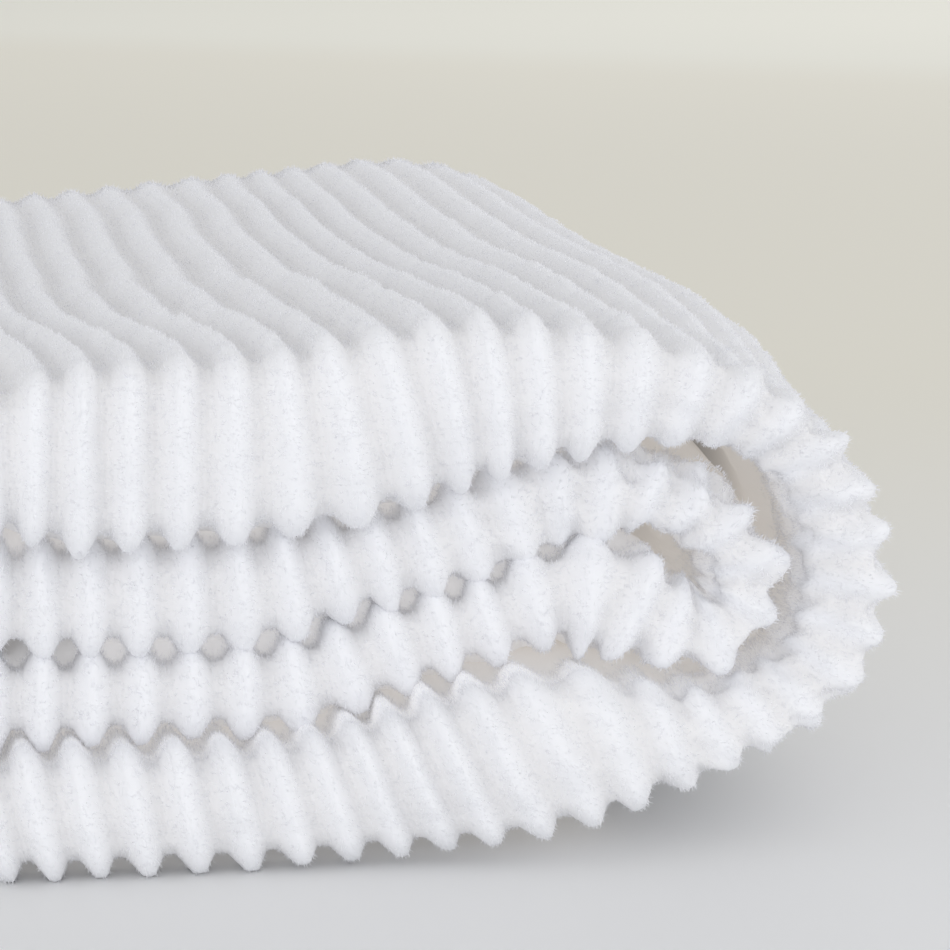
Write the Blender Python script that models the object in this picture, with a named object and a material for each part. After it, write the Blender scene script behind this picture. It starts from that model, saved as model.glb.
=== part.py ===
"""A white ribbed plush cloth, folded into eight layers: a Blender 4.5 script in metres, with +Z up.

The cloth lies flat on a table. It is doubled once across its ribs, so that the ribs wrap round the
front edge, and the doubled strip is then folded twice more into four passes along X. The front edge
faces -Y, and the origin is at the middle of the underside.
"""

import bmesh
import bpy
import numpy as np

MM = 0.001

# The cloth before it is folded
CLOTH_WIDTH = 400 * MM  # across the ribs
CLOTH_LENGTH = 400 * MM  # along the ribs
RIBS = 80
RIB_PITCH = CLOTH_WIDTH / RIBS
RIB_HEIGHT = 1.9 * MM
RIB_CREST = 1.5 * MM  # the flat top of a rib
BACKING_AT_NOSE = 2.3 * MM  # squeezed thin where the cloth is creased
BACKING_IN_STACK = 3.4 * MM
LAYER_GAP = 0.5 * MM  # least gap between the two layers of the doubled strip

# The creased front edge of the doubled strip
NOSE_CORNER = 3.0 * MM  # largest radius between the upright front and the top
CORNER_SHARE = 0.8  # of the half height, where the edge is too thin for that radius
CREASE_SHARE = 0.9  # of that radius, the thickest that the backing can be in the crease
FACE_BULGE = 0.16  # of the flat part's half height
SETTLE_LENGTH = 38 * MM  # how far behind the front edge the stack takes its own shape
STACK_SAG = 0.045  # of the height, halfway between the front and the back
TABLE_CONTACT = 0.15 * MM  # lower than this, the cloth lies on the table

# The mesh
ROWS_ROUND_CORNER = 2  # after the row where the flat face ends
STACK_ROWS = (12 * MM, 34 * MM, 70 * MM, 125 * MM)  # behind the corner; the back edge follows

# Stations along the doubled strip, in millimetres. A pass or a wrap is a table, and a row is a station.
# front_x, front_z: the strip's middle at its front edge; stack_x, stack_z: the same further back.
# nose_half, stack_half: half the strip's height there; nose_y: how far the front edge is set back.
# lean: how far the upper layer's ribs lie before the lower layer's, along the strip.
# slip: the extra cloth gathered up before the station, which slides the ribs back along the strip.
COLUMNS = (
    "front_x", "front_z", "stack_x", "stack_z", "nose_half", "stack_half", "nose_y", "lean", "slip",
)

BOTTOM_PASS = (
    (-8.5, 6.45, -12.0, 6.45, 6.45, 6.45, 0.5, 2.7, 0.0),
    (8.0, 6.45, 5.2, 6.45, 6.45, 6.45, 0.5, 2.7, 0.2),
    (20.0, 6.5, 19.0, 6.6, 6.45, 6.6, 0.0, 2.6, 0.3),
    (29.0, 7.2, 29.4, 6.75, 6.85, 6.75, -0.5, 2.4, 0.6),
    (38.0, 8.6, 39.7, 6.9, 7.7, 6.9, -1.5, 3.0, 1.1),
    (48.0, 10.6, 51.2, 7.0, 8.7, 7.0, -3.0, 3.8, 1.4),
    (58.0, 12.1, 62.7, 7.1, 7.7, 7.0, -2.5, 4.5, -0.1),
    (67.0, 12.1, 72.0, 8.4, 5.6, 6.2, -1.0, 3.6, -0.9),
)
OUTER_WRAP = (
    (75.5, 13.9, 81.6, 11.3, 5.0, 5.5, 0.0, 1.0, -1.0),
    (82.6, 18.3, 88.0, 18.8, 5.0, 5.5, 0.5, 0.0, -0.8),
    (85.7, 26.3, 91.2, 28.8, 5.3, 5.5, 0.5, 0.0, 0.0),
    (84.6, 35.0, 90.0, 39.8, 5.2, 5.5, 0.5, 0.0, 0.4),
    (79.8, 42.6, 83.4, 48.6, 4.9, 5.5, 0.5, 0.0, 0.8),
)
TOP_PASS = (
    (71.2, 47.5, 72.8, 52.0, 5.6, 6.2, 0.0, 0.0, 0.6),
    (61.5, 49.6, 62.2, 51.8, 6.8, 6.95, 0.0, 0.0, -0.5),
    (51.5, 50.0, 51.5, 50.9, 8.0, 6.9, 0.0, 0.0, -1.1),
    (41.0, 48.8, 39.8, 50.1, 9.35, 6.75, 0.0, 0.0, -0.5),
    (30.0, 46.4, 27.6, 49.2, 10.1, 6.65, 0.0, 0.0, -1.7),
    (15.0, 45.1, 11.1, 47.8, 9.9, 6.45, 0.0, -1.0, -3.2),
    (1.0, 44.65, -4.0, 47.3, 9.35, 6.4, 0.0, -1.0, -3.2),
)
LEFT_CREASE = (
    (-5.0, 44.4, -9.5, 47.2, 7.6, 6.2, 0.0, -1.0, -2.8),
    (-10.6, 42.3, -14.4, 45.4, 5.3, 4.8, 1.0, 0.0, -2.3),
    (-12.9, 36.7, -16.4, 40.5, 5.3, 5.2, 2.5, 0.0, -1.8),
    (-10.6, 31.1, -14.4, 35.6, 5.1, 4.8, 4.0, 0.0, -1.3),
    (-5.0, 29.0, -9.5, 33.8, 5.8, 6.0, 5.0, 0.0, -1.0),
)
SECOND_PASS = (
    (1.0, 28.9, -4.0, 33.8, 5.8, 6.3, 5.0, 0.0, -0.9),
    (15.0, 28.8, 11.1, 34.2, 5.85, 6.4, 5.0, 0.0, -1.1),
    (25.0, 29.4, 22.0, 34.8, 5.8, 6.5, 5.0, 0.0, -1.4),
    (35.0, 31.7, 33.2, 35.5, 5.2, 6.6, 5.0, 0.0, -1.2),
    (44.7, 34.3, 44.0, 36.1, 5.2, 6.8, 5.0, 0.0, -0.9),
    (52.5, 37.0, 52.5, 36.5, 4.7, 6.9, 5.0, 0.0, -0.9),
    (60.0, 37.8, 60.5, 37.2, 4.4, 6.6, 5.0, 0.0, -0.9),
)
INNER_WRAP = (
    (67.2, 36.4, 68.5, 38.4, 4.4, 5.4, 5.0, 0.0, -0.4),
    (73.0, 32.4, 75.0, 35.7, 4.4, 5.2, 4.5, 0.0, 0.3),
    (75.2, 27.8, 77.6, 29.3, 4.4, 5.2, 4.0, 0.0, 1.0),
    (73.6, 23.9, 75.0, 22.9, 4.35, 5.2, 4.0, 0.0, 1.7),
    (69.6, 22.5, 68.5, 20.3, 4.4, 5.4, 4.5, 0.0, 2.4),
)
THIRD_PASS = (
    (65.4, 23.8, 62.5, 21.2, 5.0, 6.4, 5.0, 0.0, 2.9),
    (61.0, 25.9, 56.5, 21.9, 5.8, 6.8, 5.0, 0.0, 3.1),
    (55.5, 26.7, 51.0, 21.9, 5.5, 6.9, 5.5, 0.0, 2.7),
    (47.8, 24.7, 45.0, 21.7, 4.5, 6.85, 6.0, 0.0, 2.1),
    (38.7, 22.3, 37.0, 21.3, 4.75, 6.7, 6.0, 0.0, 1.8),
    (29.0, 19.15, 27.5, 20.9, 4.6, 6.6, 6.0, 0.0, 0.8),
    (19.0, 18.2, 17.0, 20.6, 4.5, 6.5, 6.0, 0.0, -0.1),
    (8.0, 18.0, 5.2, 20.35, 4.5, 6.4, 6.0, 0.0, -0.8),
    (-8.0, 18.0, -11.5, 20.3, 4.5, 6.35, 6.0, 0.0, -1.0),
)
STRIP = (
    BOTTOM_PASS + OUTER_WRAP + TOP_PASS + LEFT_CREASE + SECOND_PASS + INNER_WRAP + THIRD_PASS
)
ORIGIN_X = 37.7 * MM  # of the tables' own X
ORIGIN_Y = 99.4 * MM  # behind the top pass's front edge
PATH_SAMPLES = 4001
OVERRUN = 12 * MM  # by which the strip's path is carried on straight past each end


def smooth_through(knots, values, at):
    """A curve through the values at the knots with no jump in its bend, read at the given places."""
    span = np.diff(knots)
    pull = 1 / span
    rise = 3 * np.diff(values) * pull * pull
    joint = np.diag(2 * (np.append(pull, 0) + np.append(0, pull)))
    joint += np.diag(pull, 1) + np.diag(pull, -1)
    slopes = np.linalg.solve(joint, np.append(rise, 0) + np.append(0, rise))
    i = np.clip(np.searchsorted(knots, at) - 1, 0, len(knots) - 2)
    t = (at - knots[i]) / span[i]
    blend = t * t * (3 - 2 * t)
    leaving = slopes[i] * t * (1 - t) ** 2
    arriving = slopes[i + 1] * t * t * (t - 1)
    return values[i] * (1 - blend) + values[i + 1] * blend + span[i] * (leaving + arriving)


def lay_out_strip():
    """The stations' columns against the distance across the flat cloth, sampled finely."""
    rows = np.array(STRIP) * MM
    steps = np.hypot(np.diff(rows[:, 0]), np.diff(rows[:, 1]))
    knots = np.concatenate([[0], np.cumsum(steps)])
    places = np.linspace(0, knots[-1], PATH_SAMPLES)
    columns = np.array([smooth_through(knots, column, places) for column in rows.T])
    lengths = np.hypot(np.diff(columns[0]), np.diff(columns[1]))
    across = np.concatenate([[0], np.cumsum(lengths)]) + columns[COLUMNS.index("slip")]
    across *= CLOTH_WIDTH / across[-1]
    first = columns[:, 0] - (columns[:, 1] - columns[:, 0]) / across[1] * OVERRUN
    last = columns[:, -1] + (columns[:, -1] - columns[:, -2]) / (across[-1] - across[-2]) * OVERRUN
    across = np.concatenate([[-OVERRUN], across, [CLOTH_WIDTH + OVERRUN]])
    columns = np.column_stack([first, columns, last])
    strip = dict(zip(COLUMNS, columns))
    for name in COLUMNS[:4]:
        strip[name + "_slope"] = np.gradient(strip[name], across)
    return across, strip


PATH_ACROSS, PATH = lay_out_strip()


def read_path(name, across):
    return np.interp(across, PATH_ACROSS, PATH[name])


def settled(behind):
    """From 0 at the front edge to 1 where the stack has its own shape."""
    return 1 - np.exp(-((behind / SETTLE_LENGTH) ** 2))


def nose_sizes(across):
    """The half height of the strip's nose between the ribs, its corner radius and its flat part."""
    half = read_path("nose_half", across) - RIB_HEIGHT
    corner = np.minimum(NOSE_CORNER, CORNER_SHARE * half)
    return half, corner, half - corner


def strip_section(across, along):
    """The doubled strip's section in Y and height, with its outward normal.

    along is the signed distance over the cloth from the front crease: above it is the upper layer.
    """
    half, corner, flat = nose_sizes(across)
    distance = np.abs(along)
    turn = np.clip((distance - flat) / corner, 0, np.pi / 2)
    straight = np.maximum(distance - flat - corner * np.pi / 2, 0)
    on_face = np.minimum(distance, flat)
    bulge = FACE_BULGE * flat * (1 - (on_face / flat) ** 2)
    behind = corner * (1 - np.cos(turn)) + straight
    stack = read_path("stack_half", across) - RIB_HEIGHT
    spread = (stack - half) * settled(straight)
    height = on_face + corner * np.sin(turn) + spread
    side = np.sign(along)
    normal_y = -np.cos(turn)
    normal_height = np.sin(turn) * side
    return behind - bulge, height * side, normal_y, normal_height, straight


def backing(across, straight):
    """The thickness of the cloth under its ribs, thin enough for the two layers to clear each other."""
    half, corner, _ = nose_sizes(across)
    stack = read_path("stack_half", across) - RIB_HEIGHT
    creased = np.minimum(BACKING_AT_NOSE, CREASE_SHARE * corner)
    creased = np.minimum(creased, half - LAYER_GAP / 2)
    stacked = np.minimum(BACKING_IN_STACK, stack - LAYER_GAP / 2)
    return creased + (stacked - creased) * settled(straight)


def fold(across, along, rib, reverse=False):
    """Where points of the flat cloth lie once it is folded; rib is their height over the backing."""
    y, height, normal_y, normal_height, straight = strip_section(across, along)
    half = nose_sizes(across)[0]
    lift = -backing(across, straight) if reverse else rib
    y = y + lift * normal_y
    height = height + lift * normal_height
    share = np.clip(height / (half + RIB_HEIGHT), -1, 1)
    shifted = across - share * read_path("lean", across) / 2
    back = settled(straight)
    middle = {}
    slope = {}
    for axis in ("x", "z"):
        front = read_path("front_" + axis, shifted)
        stack = read_path("stack_" + axis, shifted)
        middle[axis] = front + (stack - front) * back
        front = read_path("front_" + axis + "_slope", shifted)
        stack = read_path("stack_" + axis + "_slope", shifted)
        slope[axis] = front + (stack - front) * back
    length = np.hypot(slope["x"], slope["z"])
    x = middle["x"] - height * slope["z"] / length
    z = middle["z"] + height * slope["x"] / length
    z = z * (1 - STACK_SAG * np.sin(np.pi * straight / (CLOTH_LENGTH / 2)) ** 2)
    z = np.where(z < TABLE_CONTACT, 0, z)
    y = y + read_path("nose_y", across)
    return np.stack([x - ORIGIN_X, y - ORIGIN_Y, z], axis=-1)


def rows_along(across):
    """Distances from the front crease at which the mesh has its rows, one column for each place."""
    _, corner, flat = nose_sizes(across)
    quarter = corner * np.pi / 2
    rows = [0 * flat]
    for i in range(ROWS_ROUND_CORNER + 1):
        rows.append(flat + quarter * i / ROWS_ROUND_CORNER)
    for step in STACK_ROWS:
        rows.append(flat + quarter + step)
    rows.append(0 * flat + CLOTH_LENGTH / 2)
    upper = np.array(rows)
    return np.concatenate([-upper[:0:-1], upper])


def rib_columns():
    """Places across the cloth with their height over the backing: a valley and a flat crest a rib."""
    across, height = [0.0], [0.0]
    for i in range(RIBS):
        middle = (i + 0.5) * RIB_PITCH
        across += [middle - RIB_CREST / 2, middle + RIB_CREST / 2, (i + 1) * RIB_PITCH]
        height += [RIB_HEIGHT, RIB_HEIGHT, 0.0]
    return np.array(across), np.array(height)


def folded_face(bm, across, height, reverse):
    """A flat grid over the whole cloth, moved into its folds; returns its four edge chains."""
    along = rows_along(across)
    rows, columns = along.shape
    made = bmesh.ops.create_grid(bm, x_segments=columns - 1, y_segments=rows - 1, size=1)
    corners = np.array([v.co[:2] for v in made["verts"]])
    column = np.rint((corners[:, 0] + 1) / 2 * (columns - 1)).astype(int)
    row = np.rint((corners[:, 1] + 1) / 2 * (rows - 1)).astype(int)
    places = fold(across[column], along[row, column], height[column], reverse)
    grid = {}
    for vertex, place, i, j in zip(made["verts"], places, row, column):
        vertex.co = place
        grid[i, j] = vertex
    chains = (
        [grid[0, j] for j in range(columns)],
        [grid[rows - 1, j] for j in range(columns)],
        [grid[i, 0] for i in range(rows)],
        [grid[i, columns - 1] for i in range(rows)],
    )
    return [[edge_between(bm, a, b) for a, b in zip(chain, chain[1:])] for chain in chains]


def edge_between(bm, a, b):
    return next(edge for edge in a.link_edges if edge.other_vert(a) is b)


def plush_material():
    """White polyester pile: rough, with no shine."""
    material = bpy.data.materials.new("white_plush")
    material.use_nodes = True
    shader = material.node_tree.nodes["Principled BSDF"]
    shader.inputs["Base Color"].default_value = (0.83, 0.83, 0.85, 1)
    shader.inputs["Roughness"].default_value = 0.95
    shader.inputs["Metallic"].default_value = 0
    return material


def make_cloth():
    """The one piece of cloth: a ribbed face, a plain reverse, and the cut edges between them."""
    bm = bmesh.new()
    ribbed = folded_face(bm, *rib_columns(), reverse=False)
    across = np.arange(RIBS + 1) * RIB_PITCH
    plain = folded_face(bm, across, 0 * across, reverse=True)
    for outer, inner in zip(ribbed, plain):
        bmesh.ops.bridge_loops(bm, edges=outer + inner)
    bmesh.ops.recalc_face_normals(bm, faces=bm.faces)
    bmesh.ops.triangulate(bm, faces=bm.faces)
    mesh = bpy.data.meshes.new("cloth")
    bm.to_mesh(mesh)
    bm.free()
    mesh.materials.append(plush_material())
    mesh.shade_smooth()
    cloth = bpy.data.objects.new("cloth", mesh)
    bpy.context.collection.objects.link(cloth)
    return cloth


for old in list(bpy.data.objects):
    bpy.data.objects.remove(old)
make_cloth()
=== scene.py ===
"""A white ribbed plush cloth, folded into a flat stack on a pale table: a Blender 4.5 scene.

The cloth is a flat sheet with raised ribs that one mapping folds into the stack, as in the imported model.
Its pile is strands on the ribs, and the same mapping carries them along.
"""

import math

import bmesh
import bpy
import numpy as np
from bpy.props import FloatProperty, FloatVectorProperty, IntProperty, PointerProperty
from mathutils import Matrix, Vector


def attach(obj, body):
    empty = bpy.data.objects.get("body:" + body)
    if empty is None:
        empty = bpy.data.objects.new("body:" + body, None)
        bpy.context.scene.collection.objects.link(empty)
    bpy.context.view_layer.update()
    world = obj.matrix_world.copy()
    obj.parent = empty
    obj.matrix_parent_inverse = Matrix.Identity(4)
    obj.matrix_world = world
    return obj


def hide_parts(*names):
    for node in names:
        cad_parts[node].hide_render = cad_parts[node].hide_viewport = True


bl_info = {
    "name": "Folded plush cloth",
    "version": (1, 0, 0),
    "blender": (4, 5, 0),
    "location": "View3D > Sidebar > Plush cloth",
    "description": "Builds a folded ribbed plush cloth with its pile, and a pale table for it",
    "category": "Add Mesh",
}

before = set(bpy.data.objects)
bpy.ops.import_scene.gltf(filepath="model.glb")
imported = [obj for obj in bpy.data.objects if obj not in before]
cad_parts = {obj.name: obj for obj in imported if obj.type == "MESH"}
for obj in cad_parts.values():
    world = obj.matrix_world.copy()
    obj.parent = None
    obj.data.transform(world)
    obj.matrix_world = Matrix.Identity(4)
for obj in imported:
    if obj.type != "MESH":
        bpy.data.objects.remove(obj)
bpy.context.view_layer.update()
CAD_NODE = "cloth"

MM = 0.001

# The cloth before it is folded
CLOTH_WIDTH = 400 * MM  # across the ribs
CLOTH_LENGTH = 400 * MM  # along the ribs
RIBS = 80
RIB_PITCH = CLOTH_WIDTH / RIBS
BACKING_AT_NOSE = 2.3 * MM  # squeezed thin where the cloth is creased
BACKING_IN_STACK = 3.4 * MM
LAYER_GAP = 0.5 * MM  # least gap between the two layers of the doubled strip
RIB_ROOM = 1.9 * MM  # height that the fold leaves for the ribs

# The creased front edge of the doubled strip
NOSE_CORNER = 3.0 * MM  # largest radius between the upright front and the top
CORNER_SHARE = 0.8  # of the half height, where the edge is too thin for that radius
CREASE_SHARE = 0.9  # of that radius, the thickest that the backing can be in the crease
FACE_BULGE = 0.16  # of the flat part's half height
SETTLE_LENGTH = 38 * MM  # how far behind the front edge the stack takes its own shape
STACK_SAG = 0.045  # of the height, halfway between the front and the back
TABLE_CONTACT = 0.15 * MM  # lower than this, the cloth lies on the table

# Stations along the doubled strip, in millimetres. A pass or a wrap is a table, and a row is a station.
# front_x, front_z: the strip's middle at its front edge; stack_x, stack_z: the same further back.
# nose_half, stack_half: half the strip's height there; nose_y: how far the front edge is set back.
# lean: how far the upper layer's ribs lie before the lower layer's, along the strip.
# slip: the extra cloth gathered up before the station, which slides the ribs back along the strip.
COLUMNS = (
    "front_x", "front_z", "stack_x", "stack_z", "nose_half", "stack_half", "nose_y", "lean", "slip",
)

BOTTOM_PASS = (
    (-8.5, 6.45, -12.0, 6.45, 6.45, 6.45, 0.5, 2.7, 0.0),
    (8.0, 6.45, 5.2, 6.45, 6.45, 6.45, 0.5, 2.7, 0.2),
    (20.0, 6.5, 19.0, 6.6, 6.45, 6.6, 0.0, 2.6, 0.3),
    (29.0, 7.2, 29.4, 6.75, 6.85, 6.75, -0.5, 2.4, 0.6),
    (38.0, 8.6, 39.7, 6.9, 7.7, 6.9, -1.5, 3.0, 1.1),
    (48.0, 10.6, 51.2, 7.0, 8.7, 7.0, -3.0, 3.8, 1.4),
    (58.0, 12.1, 62.7, 7.1, 7.7, 7.0, -2.5, 4.5, -0.1),
    (67.0, 12.1, 72.0, 8.4, 5.6, 6.2, -1.0, 3.6, -0.9),
)
OUTER_WRAP = (
    (75.5, 13.9, 81.6, 11.3, 5.0, 5.5, 0.0, 1.0, -1.0),
    (82.6, 18.3, 88.0, 18.8, 5.0, 5.5, 0.5, 0.0, -0.8),
    (85.7, 26.3, 91.2, 28.8, 5.3, 5.5, 0.5, 0.0, 0.0),
    (84.6, 35.0, 90.0, 39.8, 5.2, 5.5, 0.5, 0.0, 0.4),
    (79.8, 42.6, 83.4, 48.6, 4.9, 5.5, 0.5, 0.0, 0.8),
)
TOP_PASS = (
    (71.2, 47.5, 72.8, 52.0, 5.6, 6.2, 0.0, 0.0, 0.6),
    (61.5, 49.6, 62.2, 51.8, 6.8, 6.95, 0.0, 0.0, -0.5),
    (51.5, 50.0, 51.5, 50.9, 8.0, 6.9, 0.0, 0.0, -1.1),
    (41.0, 48.8, 39.8, 50.1, 9.35, 6.75, 0.0, 0.0, -0.5),
    (30.0, 46.4, 27.6, 49.2, 10.1, 6.65, 0.0, 0.0, -1.7),
    (15.0, 45.1, 11.1, 47.8, 9.9, 6.45, 0.0, -1.0, -3.2),
    (1.0, 44.65, -4.0, 47.3, 9.35, 6.4, 0.0, -1.0, -3.2),
)
LEFT_CREASE = (
    (-5.0, 44.4, -9.5, 47.2, 7.6, 6.2, 0.0, -1.0, -2.8),
    (-10.6, 42.3, -14.4, 45.4, 5.3, 4.8, 1.0, 0.0, -2.3),
    (-12.9, 36.7, -16.4, 40.5, 5.3, 5.2, 2.5, 0.0, -1.8),
    (-10.6, 31.1, -14.4, 35.6, 5.1, 4.8, 4.0, 0.0, -1.3),
    (-5.0, 29.0, -9.5, 33.8, 5.8, 6.0, 5.0, 0.0, -1.0),
)
SECOND_PASS = (
    (1.0, 28.9, -4.0, 33.8, 5.8, 6.3, 5.0, 0.0, -0.9),
    (15.0, 28.8, 11.1, 34.2, 5.85, 6.4, 5.0, 0.0, -1.1),
    (25.0, 29.4, 22.0, 34.8, 5.8, 6.5, 5.0, 0.0, -1.4),
    (35.0, 31.7, 33.2, 35.5, 5.2, 6.6, 5.0, 0.0, -1.2),
    (44.7, 34.3, 44.0, 36.1, 5.2, 6.8, 5.0, 0.0, -0.9),
    (52.5, 37.0, 52.5, 36.5, 4.7, 6.9, 5.0, 0.0, -0.9),
    (60.0, 37.8, 60.5, 37.2, 4.4, 6.6, 5.0, 0.0, -0.9),
)
INNER_WRAP = (
    (67.2, 36.4, 68.5, 38.4, 4.4, 5.4, 5.0, 0.0, -0.4),
    (73.0, 32.4, 75.0, 35.7, 4.4, 5.2, 4.5, 0.0, 0.3),
    (75.2, 27.8, 77.6, 29.3, 4.4, 5.2, 4.0, 0.0, 1.0),
    (73.6, 23.9, 75.0, 22.9, 4.35, 5.2, 4.0, 0.0, 1.7),
    (69.6, 22.5, 68.5, 20.3, 4.4, 5.4, 4.5, 0.0, 2.4),
)
THIRD_PASS = (
    (65.4, 23.8, 62.5, 21.2, 5.0, 6.4, 5.0, 0.0, 2.9),
    (61.0, 25.9, 56.5, 21.9, 5.8, 6.8, 5.0, 0.0, 3.1),
    (55.5, 26.7, 51.0, 21.9, 5.5, 6.9, 5.5, 0.0, 2.7),
    (47.8, 24.7, 45.0, 21.7, 4.5, 6.85, 6.0, 0.0, 2.1),
    (38.7, 22.3, 37.0, 21.3, 4.75, 6.7, 6.0, 0.0, 1.8),
    (29.0, 19.15, 27.5, 20.9, 4.6, 6.6, 6.0, 0.0, 0.8),
    (19.0, 18.2, 17.0, 20.6, 4.5, 6.5, 6.0, 0.0, -0.1),
    (8.0, 18.0, 5.2, 20.35, 4.5, 6.4, 6.0, 0.0, -0.8),
    (-8.0, 18.0, -11.5, 20.3, 4.5, 6.35, 6.0, 0.0, -1.0),
)
STRIP = (
    BOTTOM_PASS + OUTER_WRAP + TOP_PASS + LEFT_CREASE + SECOND_PASS + INNER_WRAP + THIRD_PASS
)
ORIGIN_X = 37.7 * MM  # of the tables' own X
ORIGIN_Y = 99.4 * MM  # behind the top pass's front edge
PATH_SAMPLES = 4001
OVERRUN = 12 * MM  # by which the strip's path is carried on straight past each end

# How rumpled the cloth is, in millimetres or as a share. A row is a place across the cloth.
# knobs: height of the lumps in the pile near the front edge; fade: share of the ribs' height lost in them.
# tilt: how far the front edge's upper side is set back, or its lower side where it is below zero.
# over, under: how far the strip's upper and lower sides swell at its front, so that the layers meet.
# press: how far behind the front edge's corner the stack's layers start to press on each other.
RUMPLE_COLUMNS = ("place", "knobs", "fade", "tilt", "over", "under", "press")
RUMPLE = (
    (0.0, 0.15, 0.0, 0.0, 1.0, 0.0, 9.0),
    (60.0, 0.2, 0.0, 0.0, 1.0, 0.0, 9.0),
    (76.0, 0.6, 0.5, 2.5, 0.5, 0.0, 9.0),
    (88.0, 0.8, 0.9, 5.5, 0.0, 0.0, 14.0),
    (118.0, 0.8, 0.9, 5.5, 0.0, 0.0, 14.0),
    (130.0, 0.4, 0.4, 2.5, 0.0, 0.0, 12.0),
    (145.0, 0.2, 0.0, 0.0, 0.3, 0.0, 3.0),
    (225.0, 0.2, 0.0, 0.0, 0.3, 0.0, 1.5),
    (240.0, 0.2, 0.0, 0.0, 1.0, 0.8, 1.5),
    (268.0, 0.2, 0.0, 0.0, 1.0, 0.8, 1.5),
    (280.0, 0.7, 0.4, -0.5, 1.2, 1.6, 10.0),
    (291.0, 0.9, 0.6, -2.0, 2.0, 2.0, 14.0),
    (300.0, 0.9, 0.7, -2.5, 2.0, 0.0, 14.0),
    (310.0, 0.9, 0.7, -2.5, 1.2, 0.0, 14.0),
    (318.0, 0.9, 0.7, -2.5, 0.4, 0.0, 14.0),
    (326.0, 0.7, 0.5, -1.0, 0.4, 1.2, 10.0),
    (335.0, 0.4, 0.1, 0.0, 0.8, 1.2, 4.0),
    (345.0, 0.2, 0.0, 0.0, 0.8, 0.8, 1.5),
    (400.0, 0.15, 0.0, 0.0, 0.8, 0.8, 1.5),
)
TIP_LENGTH = 2.2 * MM  # to each side of the front's edges, where the ribs end in full round tips
SWELL_LENGTH = 12 * MM  # behind the corner, over which the swelling dies away
FADE_LEAST = 0.5  # share of the fade on the outer wrap's outer side
FADE_MIDDLE = 0.55  # share of it at the crease
FADE_RISE = 0.9  # by which that share grows from the crease to the inner side
WOBBLE_SIZE = 22 * MM  # of the ribs' bends to either side
LUMP_SIZE = 3.4 * MM  # along a rib
LUMP_STRIDE = 11  # pitches between one rib's lumps and the next one's
KNOB_COARSE = 0.5  # height of the wide knobs, as a share of the table's
KNOB_FINE = 0.45  # and of those half as wide
KNOB_LENGTH = 14 * MM  # behind the corner, over which the knobs die away
LUMP_WAVES = 9  # that are added up
WAVE_LEAST = 1.2  # shortest wave, as a multiple of the lumps' size
WAVE_RANGE = 1.6  # from the shortest wave to the longest, likewise

RUBBED_LENGTH = 45 * MM  # along the far edges, where the ribs are rubbed down
RUBBED_HEIGHT = 0.45  # share of the ribs' height left at the edge

# Where the stack's layers press on each other
PRESS_LENGTH = 4.0 * MM  # over which the ribs are flattened
PRESS_OVER = 0.3 * MM  # by which the flattened ribs swell to meet the next layer
EDGE_OPEN = 3 * MM  # along the cut edges, where the layers part
OPEN_FROM = 66 * MM  # the outer wrap and the top pass are open on their outer side
OPEN_TO = 236 * MM

# Painted shade between the ribs and in the folds, and a painted glow just inside the folds
SHADE_LENGTH = 14.0 * MM  # behind the front edge's corner, over which the painted shade comes in
VALLEY_SHADE = 0.4  # how far the ribs' valleys go towards the painted shade's colour
GLOW_FROM = 0.05  # of the way to the painted shade, where the painted glow, which stands in for light passed on by the pile, is at its strongest
GLOW_LENGTH = 60 * MM  # over which it dies away
# Strength and colour of the painted glow, an emission in the folds
GLOW_STRENGTH = 0.15
GLOW_COLOUR = "F6F3EF"

# The sheet's mesh
COLUMNS_A_RIB = 8
ROWS_ROUND_NOSE = 16
OUTER_ROWS = 62  # behind the nose, on the layer that shows on top of the stack
INNER_ROWS = 28
ROW_CROWDING = 1.9  # how much closer the rows are near the nose
COLUMNS_A_PLAIN_RIB = 2  # on the reverse, which is plain and mostly hidden in the folds
PLAIN_ROWS = 14
PLAIN_ROWS_ROUND_NOSE = 8

# The pile's strands, in millimetres. A row is a patch of the cloth before folding: where it starts and
# ends across and along the cloth, strands to a square millimetre, their length and width, and whether
# they bend.
PATCHES = {
    "pile_front_outer": (
        (0.0, 70.0, -15.0, 16.0, 9.0, 0.50, 0.08, True),
        (70.0, 132.0, -17.0, 24.0, 9.0, 0.52, 0.09, True),
    ),
    "pile_front_top": (
        (132.0, 236.0, -17.0, 13.0, 9.0, 0.50, 0.08, True),
    ),
    "pile_front_inner": (
        (236.0, 284.0, -12.0, 12.0, 9.0, 0.50, 0.08, True),
        (284.0, 335.0, -24.0, 24.0, 9.0, 0.55, 0.09, True),
        (335.0, 400.0, -12.0, 12.0, 9.0, 0.50, 0.08, True),
    ),
    "pile_top": (
        (104.0, 236.0, -192.0, -17.0, 5.0, 0.40, 0.14, False),
    ),
    "pile_sides": (
        (60.0, 104.0, -192.0, -17.0, 4.0, 0.80, 0.18, False),
        (0.0, 400.0, -200.0, -192.0, 4.0, 0.80, 0.18, False),
        (0.0, 400.0, 192.0, 200.0, 4.0, 0.80, 0.18, False),
        (0.0, 4.0, -192.0, 192.0, 5.0, 0.45, 0.14, False),
        (396.0, 400.0, -192.0, 192.0, 5.0, 0.45, 0.14, False),
    ),
}

# How the strands stand. A stage is a place along a strand and the share of its width there.
MOST_PRESSED = 0.2  # where the cloth is pressed more than this, it has no strands
STRAND_LENGTHS = (0.6, 1.15)  # shortest and longest, as shares of the patch's length
STRAND_FAN = 0.45  # how far they fan out over a rib's crest, as a share of their length
LEAN_ACROSS = 0.6  # how far their lean varies
LEAN_ALONG = 0.7
LEAN_POWER = 1.5  # they lean more towards their tips
STRAND_RISE = 0.85  # of their length
STRAND_SUNK = 0.08  # of their length, under the face
BENT_STAGES = ((0.0, 1.0), (0.5, 0.8), (1.0, 0.0))
STRAIGHT_STAGES = ((0.0, 1.0), (1.0, 0.0))

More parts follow.
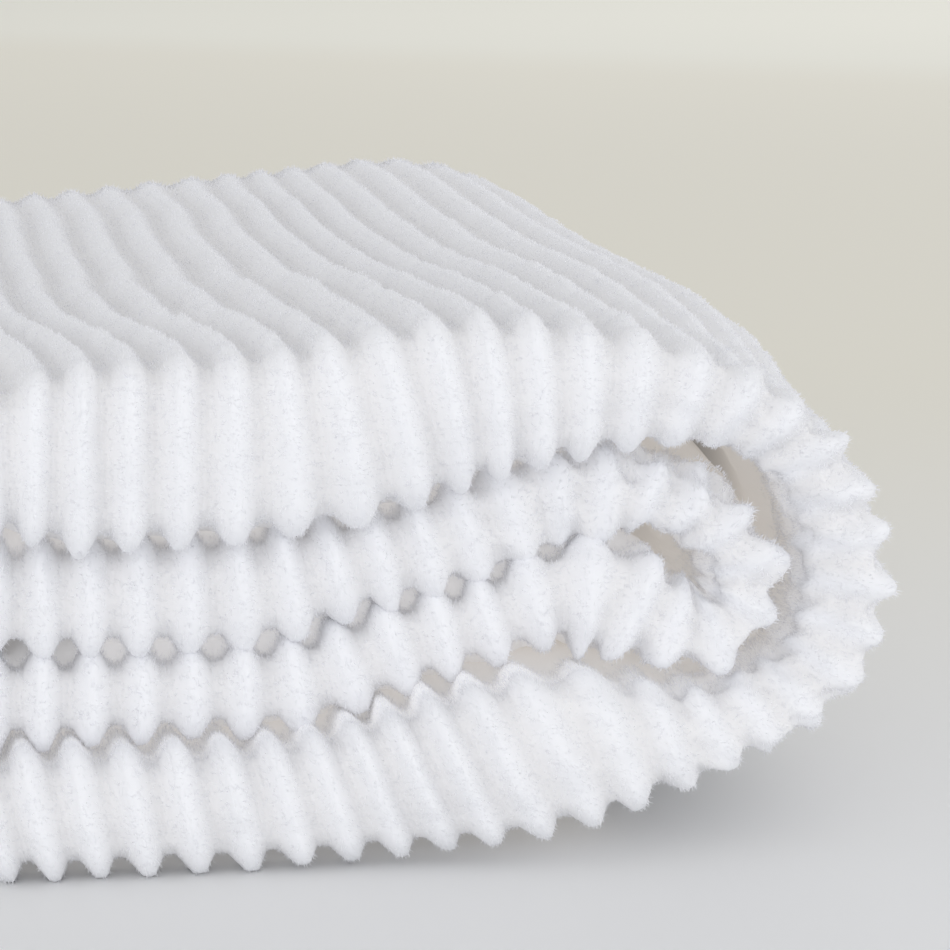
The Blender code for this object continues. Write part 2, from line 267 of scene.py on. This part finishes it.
# The fine patterns of the materials
COMBED_LENGTH = 1.2 * MM  # of the strands drawn in the face, which lie across the ribs
COMBED_WIDTH = 0.15 * MM  # real ones are a tenth of that apart
TUFT_SIZE = 0.7 * MM
BUMP_HEIGHT = 0.08 * MM
WHITE_PATCH = 1.5 * MM  # over which the strands are of one white
DARKEST_WHITE = "F0F1F5"
BRIGHTEST_WHITE = "FAFAFC"
SHINE_THROUGH = 0.3  # share of a strand's light that comes through from behind

# The table, in metres from the cloth's middle
TABLE_REACH = 6.0
COOL_TO_WARM = (-0.18, 0.25)  # Y
WARM_TO_STRIP = (1.55, 1.95)  # X and Y added

# Lights: width and height, place, and the point that they face, or none to face down
WINDOW = ((2.2, 0.5), (-0.45, -1.00, 0.28), (0.0, 0.0, 0.03))
RIGHT_WINDOW = ((0.8, 0.8), (1.0, -0.6, 0.35), (0.06, -0.05, 0.0))
FAR_WINDOW = ((1.6, 1.6), (1.1, 1.9, 1.3), None)

# The photograph's camera
CAMERA_PLACE = (-0.05508, -0.4254, 0.10266)
CAMERA_YAW = math.radians(10.7)  # to the right of +Y
CAMERA_PITCH = math.radians(10.4)  # downwards
SENSOR_WIDTH = 36.0  # in millimetres, as Blender has it


def linear(hex_colour):
    """An sRGB hex colour as linear red, green, blue and alpha."""
    parts = [int(hex_colour[i : i + 2], 16) / 255 for i in (0, 2, 4)]
    return [c / 12.92 if c <= 0.04045 else ((c + 0.055) / 1.055) ** 2.4 for c in parts] + [1.0]


class PlushClothSettings(bpy.types.PropertyGroup):
    """Sizes and colours of the cloth."""

    rib_height: FloatProperty(
        name="Rib height", description="Height of a rib over its valleys",
        default=2.0 * MM, min=0.5 * MM, max=4 * MM, unit="LENGTH",
    )
    rib_fullness: FloatProperty(
        name="Rib fullness", description="From 0 for a plain wave to 1 for full crests and flat valleys",
        default=0.35, min=0, max=1,
    )
    rib_wobble: FloatProperty(
        name="Rib wobble", description="How far a rib strays to either side of its line",
        default=0.30 * MM, min=0, max=2 * MM, unit="LENGTH",
    )
    lump_share: FloatProperty(
        name="Lumps in a rib", description="How uneven a rib's height is, as a share of it",
        default=0.13, min=0, max=0.6,
    )
    knob_size: FloatProperty(
        name="Knob size", description="Width of the knobs where the cloth is rumpled",
        default=3.6 * MM, min=1 * MM, max=20 * MM, unit="LENGTH",
    )
    pile_lean: FloatProperty(
        name="Pile lean", description="How far the strands lean about, as a share of their length",
        default=0.75, min=0, max=2,
    )
    seed: IntProperty(name="Seed", description="Which of the random piles is made", default=7)
    pile_colour: FloatVectorProperty(
        name="Pile colour", description="Colour of the pile in the light",
        default=linear("F5F6FA"), size=4, subtype="COLOR", min=0, max=1,
    )
    # Painted shade: the colour that the ribs' valleys, the folds and the pressed reverse are shaded towards
    painted_shade_colour: FloatVectorProperty(
        name="Colour in the folds", description="Colour between the ribs, in the folds and on the reverse",
        default=linear("EBE8E5"), size=4, subtype="COLOR", min=0, max=1,
    )


class TableSettings(bpy.types.PropertyGroup):
    """The table, the light and the camera."""

    near_colour: FloatVectorProperty(
        name="Near colour", description="The table's colour in front",
        default=linear("EEEFF1"), size=4, subtype="COLOR", min=0, max=1,
    )
    far_colour: FloatVectorProperty(
        name="Far colour", description="The table's colour behind the cloth",
        default=linear("EFECE0"), size=4, subtype="COLOR", min=0, max=1,
    )
    edge_colour: FloatVectorProperty(
        name="Edge colour", description="The paler strip beyond the table",
        default=linear("F2F1E7"), size=4, subtype="COLOR", min=0, max=1,
    )
    sky_strength: FloatProperty(
        name="Room light", description="Strength of the even light from all round",
        default=0.64, min=0, max=5,
    )
    window_power: FloatProperty(
        name="Window power", description="Power of the large soft light in front, in watts",
        default=4.7, min=0, max=100,
    )
    fill_power: FloatProperty(
        name="Fill power", description="Power of the weak soft light on the right, in watts",
        default=2.4, min=0, max=100,
    )
    far_power: FloatProperty(
        name="Far light power", description="Power of the soft light over the far end, in watts",
        default=6.5, min=0, max=100,
    )
    focal_length: FloatProperty(
        name="Focal length", description="The camera's focal length in millimetres",
        default=123.54, min=20, max=400,
    )


def smooth_through(knots, values, at):
    """A curve through the values at the knots with no jump in its bend, read at the given places."""
    span = np.diff(knots)
    pull = 1 / span
    rise = 3 * np.diff(values) * pull * pull
    joint = np.diag(2 * (np.append(pull, 0) + np.append(0, pull)))
    joint += np.diag(pull, 1) + np.diag(pull, -1)
    slopes = np.linalg.solve(joint, np.append(rise, 0) + np.append(0, rise))
    i = np.clip(np.searchsorted(knots, at) - 1, 0, len(knots) - 2)
    t = (at - knots[i]) / span[i]
    blend = t * t * (3 - 2 * t)
    leaving = slopes[i] * t * (1 - t) ** 2
    arriving = slopes[i + 1] * t * t * (t - 1)
    return values[i] * (1 - blend) + values[i + 1] * blend + span[i] * (leaving + arriving)


def lay_out_strip():
    """The stations' columns against the distance across the flat cloth, sampled finely."""
    rows = np.array(STRIP) * MM
    steps = np.hypot(np.diff(rows[:, 0]), np.diff(rows[:, 1]))
    knots = np.concatenate([[0], np.cumsum(steps)])
    places = np.linspace(0, knots[-1], PATH_SAMPLES)
    columns = np.array([smooth_through(knots, column, places) for column in rows.T])
    lengths = np.hypot(np.diff(columns[0]), np.diff(columns[1]))
    across = np.concatenate([[0], np.cumsum(lengths)]) + columns[COLUMNS.index("slip")]
    across *= CLOTH_WIDTH / across[-1]
    first = columns[:, 0] - (columns[:, 1] - columns[:, 0]) / across[1] * OVERRUN
    last = columns[:, -1] + (columns[:, -1] - columns[:, -2]) / (across[-1] - across[-2]) * OVERRUN
    across = np.concatenate([[-OVERRUN], across, [CLOTH_WIDTH + OVERRUN]])
    columns = np.column_stack([first, columns, last])
    strip = dict(zip(COLUMNS, columns))
    for name in COLUMNS[:4]:
        strip[name + "_slope"] = np.gradient(strip[name], across)
    return across, strip


PATH_ACROSS, PATH = lay_out_strip()
RUMPLE_PLACES = dict(zip(RUMPLE_COLUMNS, np.array(RUMPLE).T))


def read_path(name, across):
    """A column of the strip's stations at places across the cloth."""
    return np.interp(across, PATH_ACROSS, PATH[name])


def read_rumple(name, across):
    """A column of the rumples at places across the cloth, in millimetres or as a share."""
    return np.interp(across, RUMPLE_PLACES["place"] * MM, RUMPLE_PLACES[name])


def settled(behind):
    """From 0 at the front edge to 1 where the stack has its own shape."""
    return 1 - np.exp(-((behind / SETTLE_LENGTH) ** 2))


def nose_sizes(across):
    """The half height of the strip's nose between the ribs, its corner radius and its flat part."""
    half = read_path("nose_half", across) - RIB_ROOM
    corner = np.minimum(NOSE_CORNER, CORNER_SHARE * half)
    return half, corner, half - corner


def strip_section(across, along):
    """The doubled strip's section in Y and height, with its outward normal.

    along is the signed distance over the cloth from the front crease: above it is the upper layer.
    """
    half, corner, flat = nose_sizes(across)
    distance = np.abs(along)
    turn = np.clip((distance - flat) / corner, 0, np.pi / 2)
    straight = np.maximum(distance - flat - corner * np.pi / 2, 0)
    on_face = np.minimum(distance, flat)
    bulge = FACE_BULGE * flat * (1 - (on_face / flat) ** 2)
    behind = corner * (1 - np.cos(turn)) + straight
    stack = read_path("stack_half", across) - RIB_ROOM
    spread = (stack - half) * settled(straight)
    height = on_face + corner * np.sin(turn) + spread
    side = np.sign(along)
    normal_y = -np.cos(turn)
    normal_height = np.sin(turn) * side
    return behind - bulge, height * side, normal_y, normal_height, straight


def backing(across, straight):
    """The thickness of the cloth under its ribs, thin enough for the two layers to clear each other."""
    half, corner, _ = nose_sizes(across)
    stack = read_path("stack_half", across) - RIB_ROOM
    creased = np.minimum(BACKING_AT_NOSE, CREASE_SHARE * corner)
    creased = np.minimum(creased, half - LAYER_GAP / 2)
    stacked = np.minimum(BACKING_IN_STACK, stack - LAYER_GAP / 2)
    return creased + (stacked - creased) * settled(straight)


def fold(across, along, rib, reverse=False):
    """Where points of the flat cloth lie once it is folded; rib is their height over the backing."""
    y, height, normal_y, normal_height, straight = strip_section(across, along)
    half = nose_sizes(across)[0]
    lift = -backing(across, straight) if reverse else rib
    y = y + lift * normal_y
    height = height + lift * normal_height
    share = np.clip(height / (half + RIB_ROOM), -1, 1)
    tilt = read_rumple("tilt", across) * MM
    y = y + np.abs(tilt) * (1 + np.sign(tilt) * share) / 2
    swell = np.where(share > 0, read_rumple("over", across), read_rumple("under", across)) * MM
    height = height + swell * share * np.exp(-((straight / SWELL_LENGTH) ** 2))
    shifted = across - share * read_path("lean", across) / 2
    back = settled(straight)
    middle = {}
    slope = {}
    for axis in ("x", "z"):
        front = read_path("front_" + axis, shifted)
        stack = read_path("stack_" + axis, shifted)
        middle[axis] = front + (stack - front) * back
        front = read_path("front_" + axis + "_slope", shifted)
        stack = read_path("stack_" + axis + "_slope", shifted)
        slope[axis] = front + (stack - front) * back
    length = np.hypot(slope["x"], slope["z"])
    x = middle["x"] - height * slope["z"] / length
    z = middle["z"] + height * slope["x"] / length
    z = z * (1 - STACK_SAG * np.sin(np.pi * straight / (CLOTH_LENGTH / 2)) ** 2)
    z = np.where(z < TABLE_CONTACT, 0, z)
    y = y + read_path("nose_y", across)
    return np.stack([x - ORIGIN_X, y - ORIGIN_Y, z], axis=-1)


def lumps(across, along, size, seed):
    """Soft random lumps of about that size, from -1 to 1: a sum of waves that run in all directions."""
    rng = np.random.default_rng(seed)
    total = 0
    for turn, phase, stretch in rng.random((LUMP_WAVES, 3)):
        pull = 2 * np.pi / (size * (WAVE_LEAST + WAVE_RANGE * stretch))
        angle = 2 * np.pi * turn
        reach = across * np.cos(angle) + along * np.sin(angle)
        total = total + np.sin(pull * reach + phase * 2 * np.pi)
    return total / np.sqrt(LUMP_WAVES)


def surface(across, along):
    """The place across the cloth and the height of its ribbed face, with its wobbles and lumps."""
    cloth = bpy.context.scene.plush_cloth
    own = np.floor(across / RIB_PITCH) * LUMP_STRIDE * RIB_PITCH
    wobble = cloth.rib_wobble * lumps(across, along, WOBBLE_SIZE, cloth.seed)
    uneven = 1 + cloth.lump_share * lumps(own, along, LUMP_SIZE, cloth.seed + 1)
    _, corner, flat = nose_sizes(across)
    fade = read_rumple("fade", across)
    inner_side = np.clip(FADE_MIDDLE + FADE_RISE * along / (flat + corner), FADE_LEAST, 1)
    inner_side = np.where(across < OPEN_TO, inner_side, 1)
    uneven = uneven * (1 - fade * inner_side)
    from_back = np.clip((CLOTH_LENGTH / 2 - np.abs(along)) / RUBBED_LENGTH, 0, 1)
    uneven = uneven * (RUBBED_HEIGHT + (1 - RUBBED_HEIGHT) * from_back)
    wave = 0.5 - 0.5 * np.cos(2 * np.pi * across / RIB_PITCH)
    tips = np.exp(-(((np.abs(along) - flat - corner) / TIP_LENGTH) ** 2))
    rounded = np.maximum(tips, fade)  # the loose ribs of the wraps are round too
    fullness = cloth.rib_fullness + (1 - cloth.rib_fullness) * rounded
    crest = wave + fullness * (wave * wave * (3 - 2 * wave) - wave)
    knobs = KNOB_COARSE * lumps(across, along, cloth.knob_size, cloth.seed + 2)
    knobs = knobs + KNOB_FINE * lumps(across, along, cloth.knob_size / 2, cloth.seed + 3)
    knobs = knobs * read_rumple("knobs", across) * MM
    straight = strip_section(across, along)[4]
    near = np.exp(-((straight / KNOB_LENGTH) ** 2))
    press = pressed(across, along)
    height = cloth.rib_height * (crest * uneven * (1 - press) + press) + PRESS_OVER * press
    return across + wobble, height + knobs * near


def from_cut_edge(across, along):
    """From 0 at the cloth's cut edges, where the layers part, to 1 further in."""
    middle = CLOTH_WIDTH / 2
    distance = np.minimum(CLOTH_LENGTH / 2 - np.abs(along), middle - np.abs(across - middle))
    return np.clip((distance - EDGE_OPEN) / PRESS_LENGTH, 0, 1)


def pressed(across, along):
    """From 0 in the open to 1 where the layers of the stack press on each other and flatten the ribs."""
    straight = strip_section(across, along)[4]
    inside = np.clip((straight - read_rumple("press", across) * MM) / PRESS_LENGTH, 0, 1)
    open_side = (along < 0) & (across > OPEN_FROM) & (across < OPEN_TO)
    inside = np.minimum(inside, from_cut_edge(across, along))
    return np.where(open_side, 0, inside * inside * (3 - 2 * inside))


def fold_shade(across, along):
    """How deep in the folds a place is, from 0 in the open to 1 between the layers; it masks the painted
    shade in the folds.
    """
    straight = strip_section(across, along)[4]
    open_side = (along < 0) & (across > OPEN_FROM) & (across < OPEN_TO)
    inside = np.minimum(np.clip(straight / SHADE_LENGTH, 0, 1), from_cut_edge(across, along))
    return np.where(open_side, 0, inside * inside * (3 - 2 * inside))


def painted_light_through(across, along):
    """How strong the painted glow is, which stands in for light the pile passes on into a fold: from 0
    outside to 1 just inside, and none far in.
    """
    straight = strip_section(across, along)[4]
    return np.clip(fold_shade(across, along) / GLOW_FROM, 0, 1) * np.exp(-((straight / GLOW_LENGTH) ** 2))


def rows_along(across, outer_rows, inner_rows, nose_rows):
    """Distances from the front crease at which the mesh has its rows, one column for each place."""
    _, corner, flat = nose_sizes(across)
    nose = flat + corner * np.pi / 2
    left = CLOTH_LENGTH / 2 - nose
    front = [nose * i / nose_rows for i in range(nose_rows + 1)]
    sides = []
    for count in (outer_rows, inner_rows):
        shares = (np.arange(1, count + 1) / count) ** ROW_CROWDING
        sides.append(np.array(front + [nose + left * share for share in shares]))
    return np.concatenate([-sides[0][:0:-1], sides[1]])


def folded_face(bm, across, along, reverse):
    """A flat grid over the whole cloth, moved into its folds; returns its four edge chains."""
    rows, columns = along.shape
    flat_map = bm.loops.layers.uv.verify()
    # Painted shade and painted glow, kept on the vertices
    for name in ("painted_shade", "painted_glow"):
        if name not in bm.verts.layers.float:
            bm.verts.layers.float.new(name)
    painted_shade, painted_glow = bm.verts.layers.float["painted_shade"], bm.verts.layers.float["painted_glow"]
    made = bmesh.ops.create_grid(bm, x_segments=columns - 1, y_segments=rows - 1, size=1)
    corners = np.array([v.co[:2] for v in made["verts"]])
    column = np.rint((corners[:, 0] + 1) / 2 * (columns - 1)).astype(int)
    row = np.rint((corners[:, 1] + 1) / 2 * (rows - 1)).astype(int)
    place, distance = across[column], along[row, column]
    # The painted shade goes where the layers press on the reverse, and between the ribs and in the folds on
    # the face; the painted glow only on the face
    if reverse:
        points = fold(place, distance, 0, reverse=True)
        deep = pressed(place, distance)
        lit = np.zeros(len(place))
    else:
        moved, height = surface(place, distance)
        points = fold(moved, distance, height)
        between_ribs = 0.5 + 0.5 * np.cos(2 * np.pi * place / RIB_PITCH)
        deep = np.maximum(fold_shade(place, distance), VALLEY_SHADE * between_ribs)
        lit = painted_light_through(place, distance)
    grid = {}
    for i, vertex in enumerate(made["verts"]):
        vertex.co = points[i]
        vertex[painted_shade] = deep[i]
        vertex[painted_glow] = lit[i]
        grid[row[i], column[i]] = vertex
        for loop in vertex.link_loops:
            loop[flat_map].uv = (place[i], distance[i])
    chains = (
        [grid[0, j] for j in range(columns)],
        [grid[rows - 1, j] for j in range(columns)],
        [grid[i, 0] for i in range(rows)],
        [grid[i, columns - 1] for i in range(rows)],
    )
    return [[edge_between(a, b) for a, b in zip(chain, chain[1:])] for chain in chains]


def edge_between(a, b):
    """The edge that joins two vertices."""
    return next(edge for edge in a.link_edges if edge.other_vert(a) is b)


def add_node(tree, kind, settings=None, links=None):
    """A node of that kind, with inputs or properties set and other nodes' outputs linked to its inputs."""
    node = tree.nodes.new(kind)
    for name, value in (settings or {}).items():
        if name in node.inputs:
            node.inputs[name].default_value = value
        else:
            setattr(node, name, value)
    for name, output in (links or {}).items():
        tree.links.new(output, node.inputs[name])
    return node


def plush_material():
    """Sheared polyester pile: matt and soft, with fine strands, painted shade between the ribs and in the
    folds, and a painted glow just inside the folds.
    """
    cloth = bpy.context.scene.plush_cloth
    material = bpy.data.materials.new("sheared_polyester_pile")
    material.use_nodes = True
    tree = material.node_tree
    shader = tree.nodes["Principled BSDF"]
    # Painted shade, mixed into the pile's colour
    painted_shade = add_node(tree, "ShaderNodeAttribute", {"attribute_name": "painted_shade"})
    shade_mix = add_node(tree, "ShaderNodeMix", {"data_type": "RGBA"}, {"Factor": painted_shade.outputs["Fac"]})
    colours = [socket for socket in shade_mix.inputs if socket.type == "RGBA"]
    colours[0].default_value = cloth.pile_colour
    colours[1].default_value = cloth.painted_shade_colour
    mixed = next(socket for socket in shade_mix.outputs if socket.type == "RGBA")
    tree.links.new(mixed, shader.inputs["Base Color"])
    # Combed strands, drawn on the flat cloth
    flat_map = add_node(tree, "ShaderNodeUVMap", {"uv_map": "UVMap"})
    strands = add_node(
        tree, "ShaderNodeMapping", {"Scale": (1 / COMBED_LENGTH, 1 / COMBED_WIDTH, 1)},
        {"Vector": flat_map.outputs["UV"]},
    )
    combed = add_node(
        tree, "ShaderNodeTexNoise", {"Scale": 1.0, "Detail": 2.0, "Roughness": 0.6, "Distortion": 0.6},
        {"Vector": strands.outputs["Vector"]},
    )
    # Tufts of pile
    place = add_node(tree, "ShaderNodeTexCoord")
    tufts = add_node(
        tree, "ShaderNodeTexNoise", {"Scale": 1 / TUFT_SIZE, "Detail": 3.0, "Roughness": 0.65},
        {"Vector": place.outputs["Object"]},
    )
    relief = add_node(tree, "ShaderNodeMath", {"operation": "ADD"})
    tree.links.new(combed.outputs["Fac"], relief.inputs[0])
    tree.links.new(tufts.outputs["Fac"], relief.inputs[1])
    bump = add_node(
        tree, "ShaderNodeBump", {"Strength": 0.35, "Distance": BUMP_HEIGHT},
        {"Height": relief.outputs["Value"]},
    )
    tree.links.new(bump.outputs["Normal"], shader.inputs["Normal"])
    shader.inputs["Roughness"].default_value = 0.95
    shader.inputs["Metallic"].default_value = 0
    shader.inputs["Specular IOR Level"].default_value = 0.15
    shader.inputs["Sheen Weight"].default_value = 0.15
    shader.inputs["Sheen Roughness"].default_value = 0.5
    # Painted glow: an emission in the folds that stands in for light that the thick pile passes on into
    # them
    painted_glow = add_node(tree, "ShaderNodeAttribute", {"attribute_name": "painted_glow"})
    painted_light_strength = add_node(
        tree, "ShaderNodeMapRange", {"To Max": GLOW_STRENGTH}, {"Value": painted_glow.outputs["Fac"]}
    )
    shader.inputs["Emission Color"].default_value = linear(GLOW_COLOUR)
    tree.links.new(painted_light_strength.outputs["Result"], shader.inputs["Emission Strength"])
    material.cycles.emission_sampling = "NONE"  # too faint to be worth sampling as a light
    return material


def strand_material():
    """Single polyester strands at the surface of the pile: white and matt, and light comes through them."""
    material = bpy.data.materials.new("polyester_strands")
    material.use_nodes = True
    tree = material.node_tree
    shader = tree.nodes["Principled BSDF"]
    # Each tuft is a slightly different white
    place = add_node(tree, "ShaderNodeTexCoord")
    tufts = add_node(
        tree, "ShaderNodeTexNoise", {"Scale": 1 / WHITE_PATCH, "Detail": 1.0},
        {"Vector": place.outputs["Object"]},
    )
    whites = add_node(tree, "ShaderNodeValToRGB", links={"Fac": tufts.outputs["Fac"]})
    whites.color_ramp.elements[0].color = linear(DARKEST_WHITE)
    whites.color_ramp.elements[1].color = linear(BRIGHTEST_WHITE)
    tree.links.new(whites.outputs["Color"], shader.inputs["Base Color"])
    shader.inputs["Roughness"].default_value = 0.75
    shader.inputs["Metallic"].default_value = 0
    shader.inputs["Specular IOR Level"].default_value = 0.2
    # A strand lit from behind shines through
    through = add_node(tree, "ShaderNodeBsdfTranslucent", links={"Color": whites.outputs["Color"]})
    strand = add_node(tree, "ShaderNodeMixShader", {"Fac": SHINE_THROUGH})
    tree.links.new(shader.outputs["BSDF"], strand.inputs[1])
    tree.links.new(through.outputs["BSDF"], strand.inputs[2])
    tree.links.new(strand.outputs["Shader"], tree.nodes["Material Output"].inputs["Surface"])
    return material


def link_piece(mesh, name, material):
    """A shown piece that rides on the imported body."""
    mesh.materials.append(material)
    piece = bpy.data.objects.new(name, mesh)
    bpy.context.collection.objects.link(piece)
    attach(piece, "root")
    return piece


class MESH_OT_plush_sheet(bpy.types.Operator):
    """Build the folded cloth: a ribbed face, a plain reverse and the cut edges between them"""

    bl_idname = "mesh.plush_sheet"
    bl_label = "Folded cloth"

    def execute(self, context):
        bm = bmesh.new()
        across = np.linspace(0, CLOTH_WIDTH, RIBS * COLUMNS_A_RIB + 1)
        along = rows_along(across, OUTER_ROWS, INNER_ROWS, ROWS_ROUND_NOSE)
        ribbed = folded_face(bm, across, along, reverse=False)
        across = np.linspace(0, CLOTH_WIDTH, RIBS * COLUMNS_A_PLAIN_RIB + 1)
        along = rows_along(across, PLAIN_ROWS, PLAIN_ROWS, PLAIN_ROWS_ROUND_NOSE)
        plain = folded_face(bm, across, along, reverse=True)
        for outer, inner in zip(ribbed, plain):
            bmesh.ops.bridge_loops(bm, edges=outer + inner)
        bmesh.ops.recalc_face_normals(bm, faces=bm.faces)
        mesh = bpy.data.meshes.new("plush_sheet")
        bm.to_mesh(mesh)
        bm.free()
        mesh.shade_smooth()
        sheet = link_piece(mesh, "plush_sheet", plush_material())
        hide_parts(CAD_NODE)
        return {"FINISHED"}


def strand_points(patch, rng, cloth):
    """The strands of one patch, as five points each, or three where they are straight."""
    across_from, across_to, along_from, along_to, per_mm2, length, width, bends = patch
    count = int((across_to - across_from) * (along_to - along_from) * per_mm2)
    across = rng.uniform(across_from, across_to, count) * MM
    along = rng.uniform(along_from, along_to, count) * MM
    shown = pressed(across, along) < MOST_PRESSED
    across, along, count = across[shown], along[shown], shown.sum()
    phase = across / RIB_PITCH
    long = length * MM * rng.uniform(*STRAND_LENGTHS, count)
    fan = -STRAND_FAN * np.sin(2 * np.pi * phase)
    lean_across = long * (fan + cloth.pile_lean * rng.normal(0, LEAN_ACROSS, count))
    lean_along = long * cloth.pile_lean * rng.normal(0, LEAN_ALONG, count)
    side = np.arctan2(lean_along, lean_across) + np.pi / 2  # so that a strand's flat side faces out
    wide = width * MM / 2
    stages = BENT_STAGES if bends else STRAIGHT_STAGES
    points = []
    root_across, root = surface(across, along)
    for reach, spread in stages:
        for hand in (-1, 1) if spread else (0,):
            aside = hand * wide * spread
            leant = reach**LEAN_POWER
            point_across = root_across + lean_across * leant + aside * np.cos(side)
            point_along = along + lean_along * leant + aside * np.sin(side)
            height = root + long * (STRAND_RISE * reach - STRAND_SUNK)
            points.append(fold(point_across, point_along, height))
    return np.stack(points, axis=1)


def strand_mesh(name, groups):
    """One mesh of joined strands; a group is an array of strands of five or three points."""
    mesh = bpy.data.meshes.new(name)
    places, loops, sizes = [], [], []
    start = 0
    for strands in groups:
        count, points, _ = strands.shape
        first = start + np.arange(count)[:, None] * points
        if points == 5:
            corners = first + np.array([0, 1, 3, 2, 2, 3, 4])
            sizes.append(np.tile([4, 3], count))
        else:
            corners = first + np.array([0, 1, 2])
            sizes.append(np.full(count, 3))
        places.append(strands.reshape(-1, 3))
        loops.append(corners.ravel())
        start += count * points
    places, loops, sizes = np.concatenate(places), np.concatenate(loops), np.concatenate(sizes)
    mesh.vertices.add(len(places))
    mesh.vertices.foreach_set("co", places.ravel())
    mesh.loops.add(len(loops))
    mesh.loops.foreach_set("vertex_index", loops)
    mesh.polygons.add(len(sizes))
    mesh.polygons.foreach_set("loop_start", np.concatenate([[0], np.cumsum(sizes)[:-1]]))
    mesh.update(calc_edges=True)
    mesh.validate()
    return mesh


class MESH_OT_plush_pile(bpy.types.Operator):
    """Build the pile's strands as joined meshes, on the parts of the cloth that show"""

    bl_idname = "mesh.plush_pile"
    bl_label = "Pile"

    def execute(self, context):
        cloth = context.scene.plush_cloth
        rng = np.random.default_rng(cloth.seed)
        material = strand_material()
        for name, patches in PATCHES.items():
            groups = [strand_points(patch, rng, cloth) for patch in patches]
            link_piece(strand_mesh(name, groups), name, material)
        return {"FINISHED"}


def table_material():
    """Pale laminate, cool in front and warm further back, where it fades to a paler strip."""
    table = bpy.context.scene.plush_table
    material = bpy.data.materials.new("pale_laminate")
    material.use_nodes = True
    tree = material.node_tree
    shader = tree.nodes["Principled BSDF"]
    place = add_node(tree, "ShaderNodeTexCoord")
    parts = add_node(tree, "ShaderNodeSeparateXYZ", links={"Vector": place.outputs["Object"]})
    slant = add_node(tree, "ShaderNodeMath", {"operation": "ADD"})
    tree.links.new(parts.outputs["X"], slant.inputs[0])
    tree.links.new(parts.outputs["Y"], slant.inputs[1])
    warm, edge = [
        add_node(
            tree, "ShaderNodeMapRange",
            {"interpolation_type": "SMOOTHSTEP", "From Min": start, "From Max": end}, {"Value": value},
        )
        for (start, end), value in (
            (COOL_TO_WARM, parts.outputs["Y"]),
            (WARM_TO_STRIP, slant.outputs["Value"]),
        )
    ]
    colour = None
    mixes = ((warm, table.near_colour, table.far_colour), (edge, None, table.edge_colour))
    for factor, first, second in mixes:
        mix = add_node(tree, "ShaderNodeMix", {"data_type": "RGBA"}, {"Factor": factor.outputs["Result"]})
        colours = [socket for socket in mix.inputs if socket.type == "RGBA"]
        if first is not None:
            colours[0].default_value = first
        else:
            tree.links.new(colour, colours[0])
        colours[1].default_value = second
        colour = next(socket for socket in mix.outputs if socket.type == "RGBA")
    tree.links.new(colour, shader.inputs["Base Color"])
    shader.inputs["Roughness"].default_value = 0.6
    shader.inputs["Specular IOR Level"].default_value = 0.25
    return material


def add_light(name, power, size, place, aim):
    """A rectangular soft light at a place, which faces the point aimed at, or else down."""
    light = bpy.data.lights.new(name, "AREA")
    light.energy = power
    light.shape = "RECTANGLE"
    light.size, light.size_y = size
    holder = bpy.data.objects.new(name, light)
    holder.location = place
    if aim:
        holder.rotation_euler = (Vector(aim) - holder.location).to_track_quat("-Z", "Y").to_euler()
    bpy.context.collection.objects.link(holder)


class SCENE_OT_plush_table(bpy.types.Operator):
    """Set out the pale table, the soft light and the photograph's camera"""

    bl_idname = "scene.plush_table"
    bl_label = "Table, light and camera"

    def execute(self, context):
        table = context.scene.plush_table
        bm = bmesh.new()
        bmesh.ops.create_grid(bm, x_segments=1, y_segments=1, size=TABLE_REACH)
        mesh = bpy.data.meshes.new("table_top")
        bm.to_mesh(mesh)
        bm.free()
        mesh.materials.append(table_material())
        top = bpy.data.objects.new("table_top", mesh)
        context.collection.objects.link(top)

        world = bpy.data.worlds.new("soft_room")
        world.use_nodes = True
        context.scene.world = world
        sky = world.node_tree.nodes["Background"]
        sky.inputs["Color"].default_value = (1.0, 1.0, 1.0, 1)
        sky.inputs["Strength"].default_value = table.sky_strength
        add_light("window", table.window_power, *WINDOW)
        add_light("right_window", table.fill_power, *RIGHT_WINDOW)
        add_light("far_window", table.far_power, *FAR_WINDOW)

        lens = bpy.data.cameras.new("camera")
        lens.sensor_width = SENSOR_WIDTH
        lens.lens = table.focal_length
        lens.clip_start = 0.01
        lens.clip_end = 50
        camera = bpy.data.objects.new("camera", lens)
        camera.location = CAMERA_PLACE
        forward = Vector(
            (
                math.sin(CAMERA_YAW) * math.cos(CAMERA_PITCH),
                math.cos(CAMERA_YAW) * math.cos(CAMERA_PITCH),
                -math.sin(CAMERA_PITCH),
            )
        )
        camera.rotation_euler = forward.to_track_quat("-Z", "Y").to_euler()
        context.collection.objects.link(camera)
        context.scene.camera = camera
        context.scene.view_settings.view_transform = "Standard"
        return {"FINISHED"}


class VIEW3D_PT_plush_cloth(bpy.types.Panel):
    """The cloth's steps, with its sizes and colours"""

    bl_label = "Plush cloth"
    bl_space_type = "VIEW_3D"
    bl_region_type = "UI"
    bl_category = "Plush cloth"

    def draw(self, context):
        layout = self.layout
        for settings in (context.scene.plush_cloth, context.scene.plush_table):
            box = layout.box()
            for name in settings.__annotations__:
                box.prop(settings, name)
        for operator in (MESH_OT_plush_sheet, MESH_OT_plush_pile, SCENE_OT_plush_table):
            layout.operator(operator.bl_idname)


CLASSES = (
    PlushClothSettings,
    TableSettings,
    MESH_OT_plush_sheet,
    MESH_OT_plush_pile,
    SCENE_OT_plush_table,
    VIEW3D_PT_plush_cloth,
)


def register():
    for cls in CLASSES:
        bpy.utils.register_class(cls)
    bpy.types.Scene.plush_cloth = PointerProperty(type=PlushClothSettings)
    bpy.types.Scene.plush_table = PointerProperty(type=TableSettings)


def unregister():
    del bpy.types.Scene.plush_table
    del bpy.types.Scene.plush_cloth
    for cls in reversed(CLASSES):
        bpy.utils.unregister_class(cls)


def main():
    register()
    bpy.ops.mesh.plush_sheet()
    bpy.ops.mesh.plush_pile()
    bpy.ops.scene.plush_table()


if __name__ == "__main__":
    main()
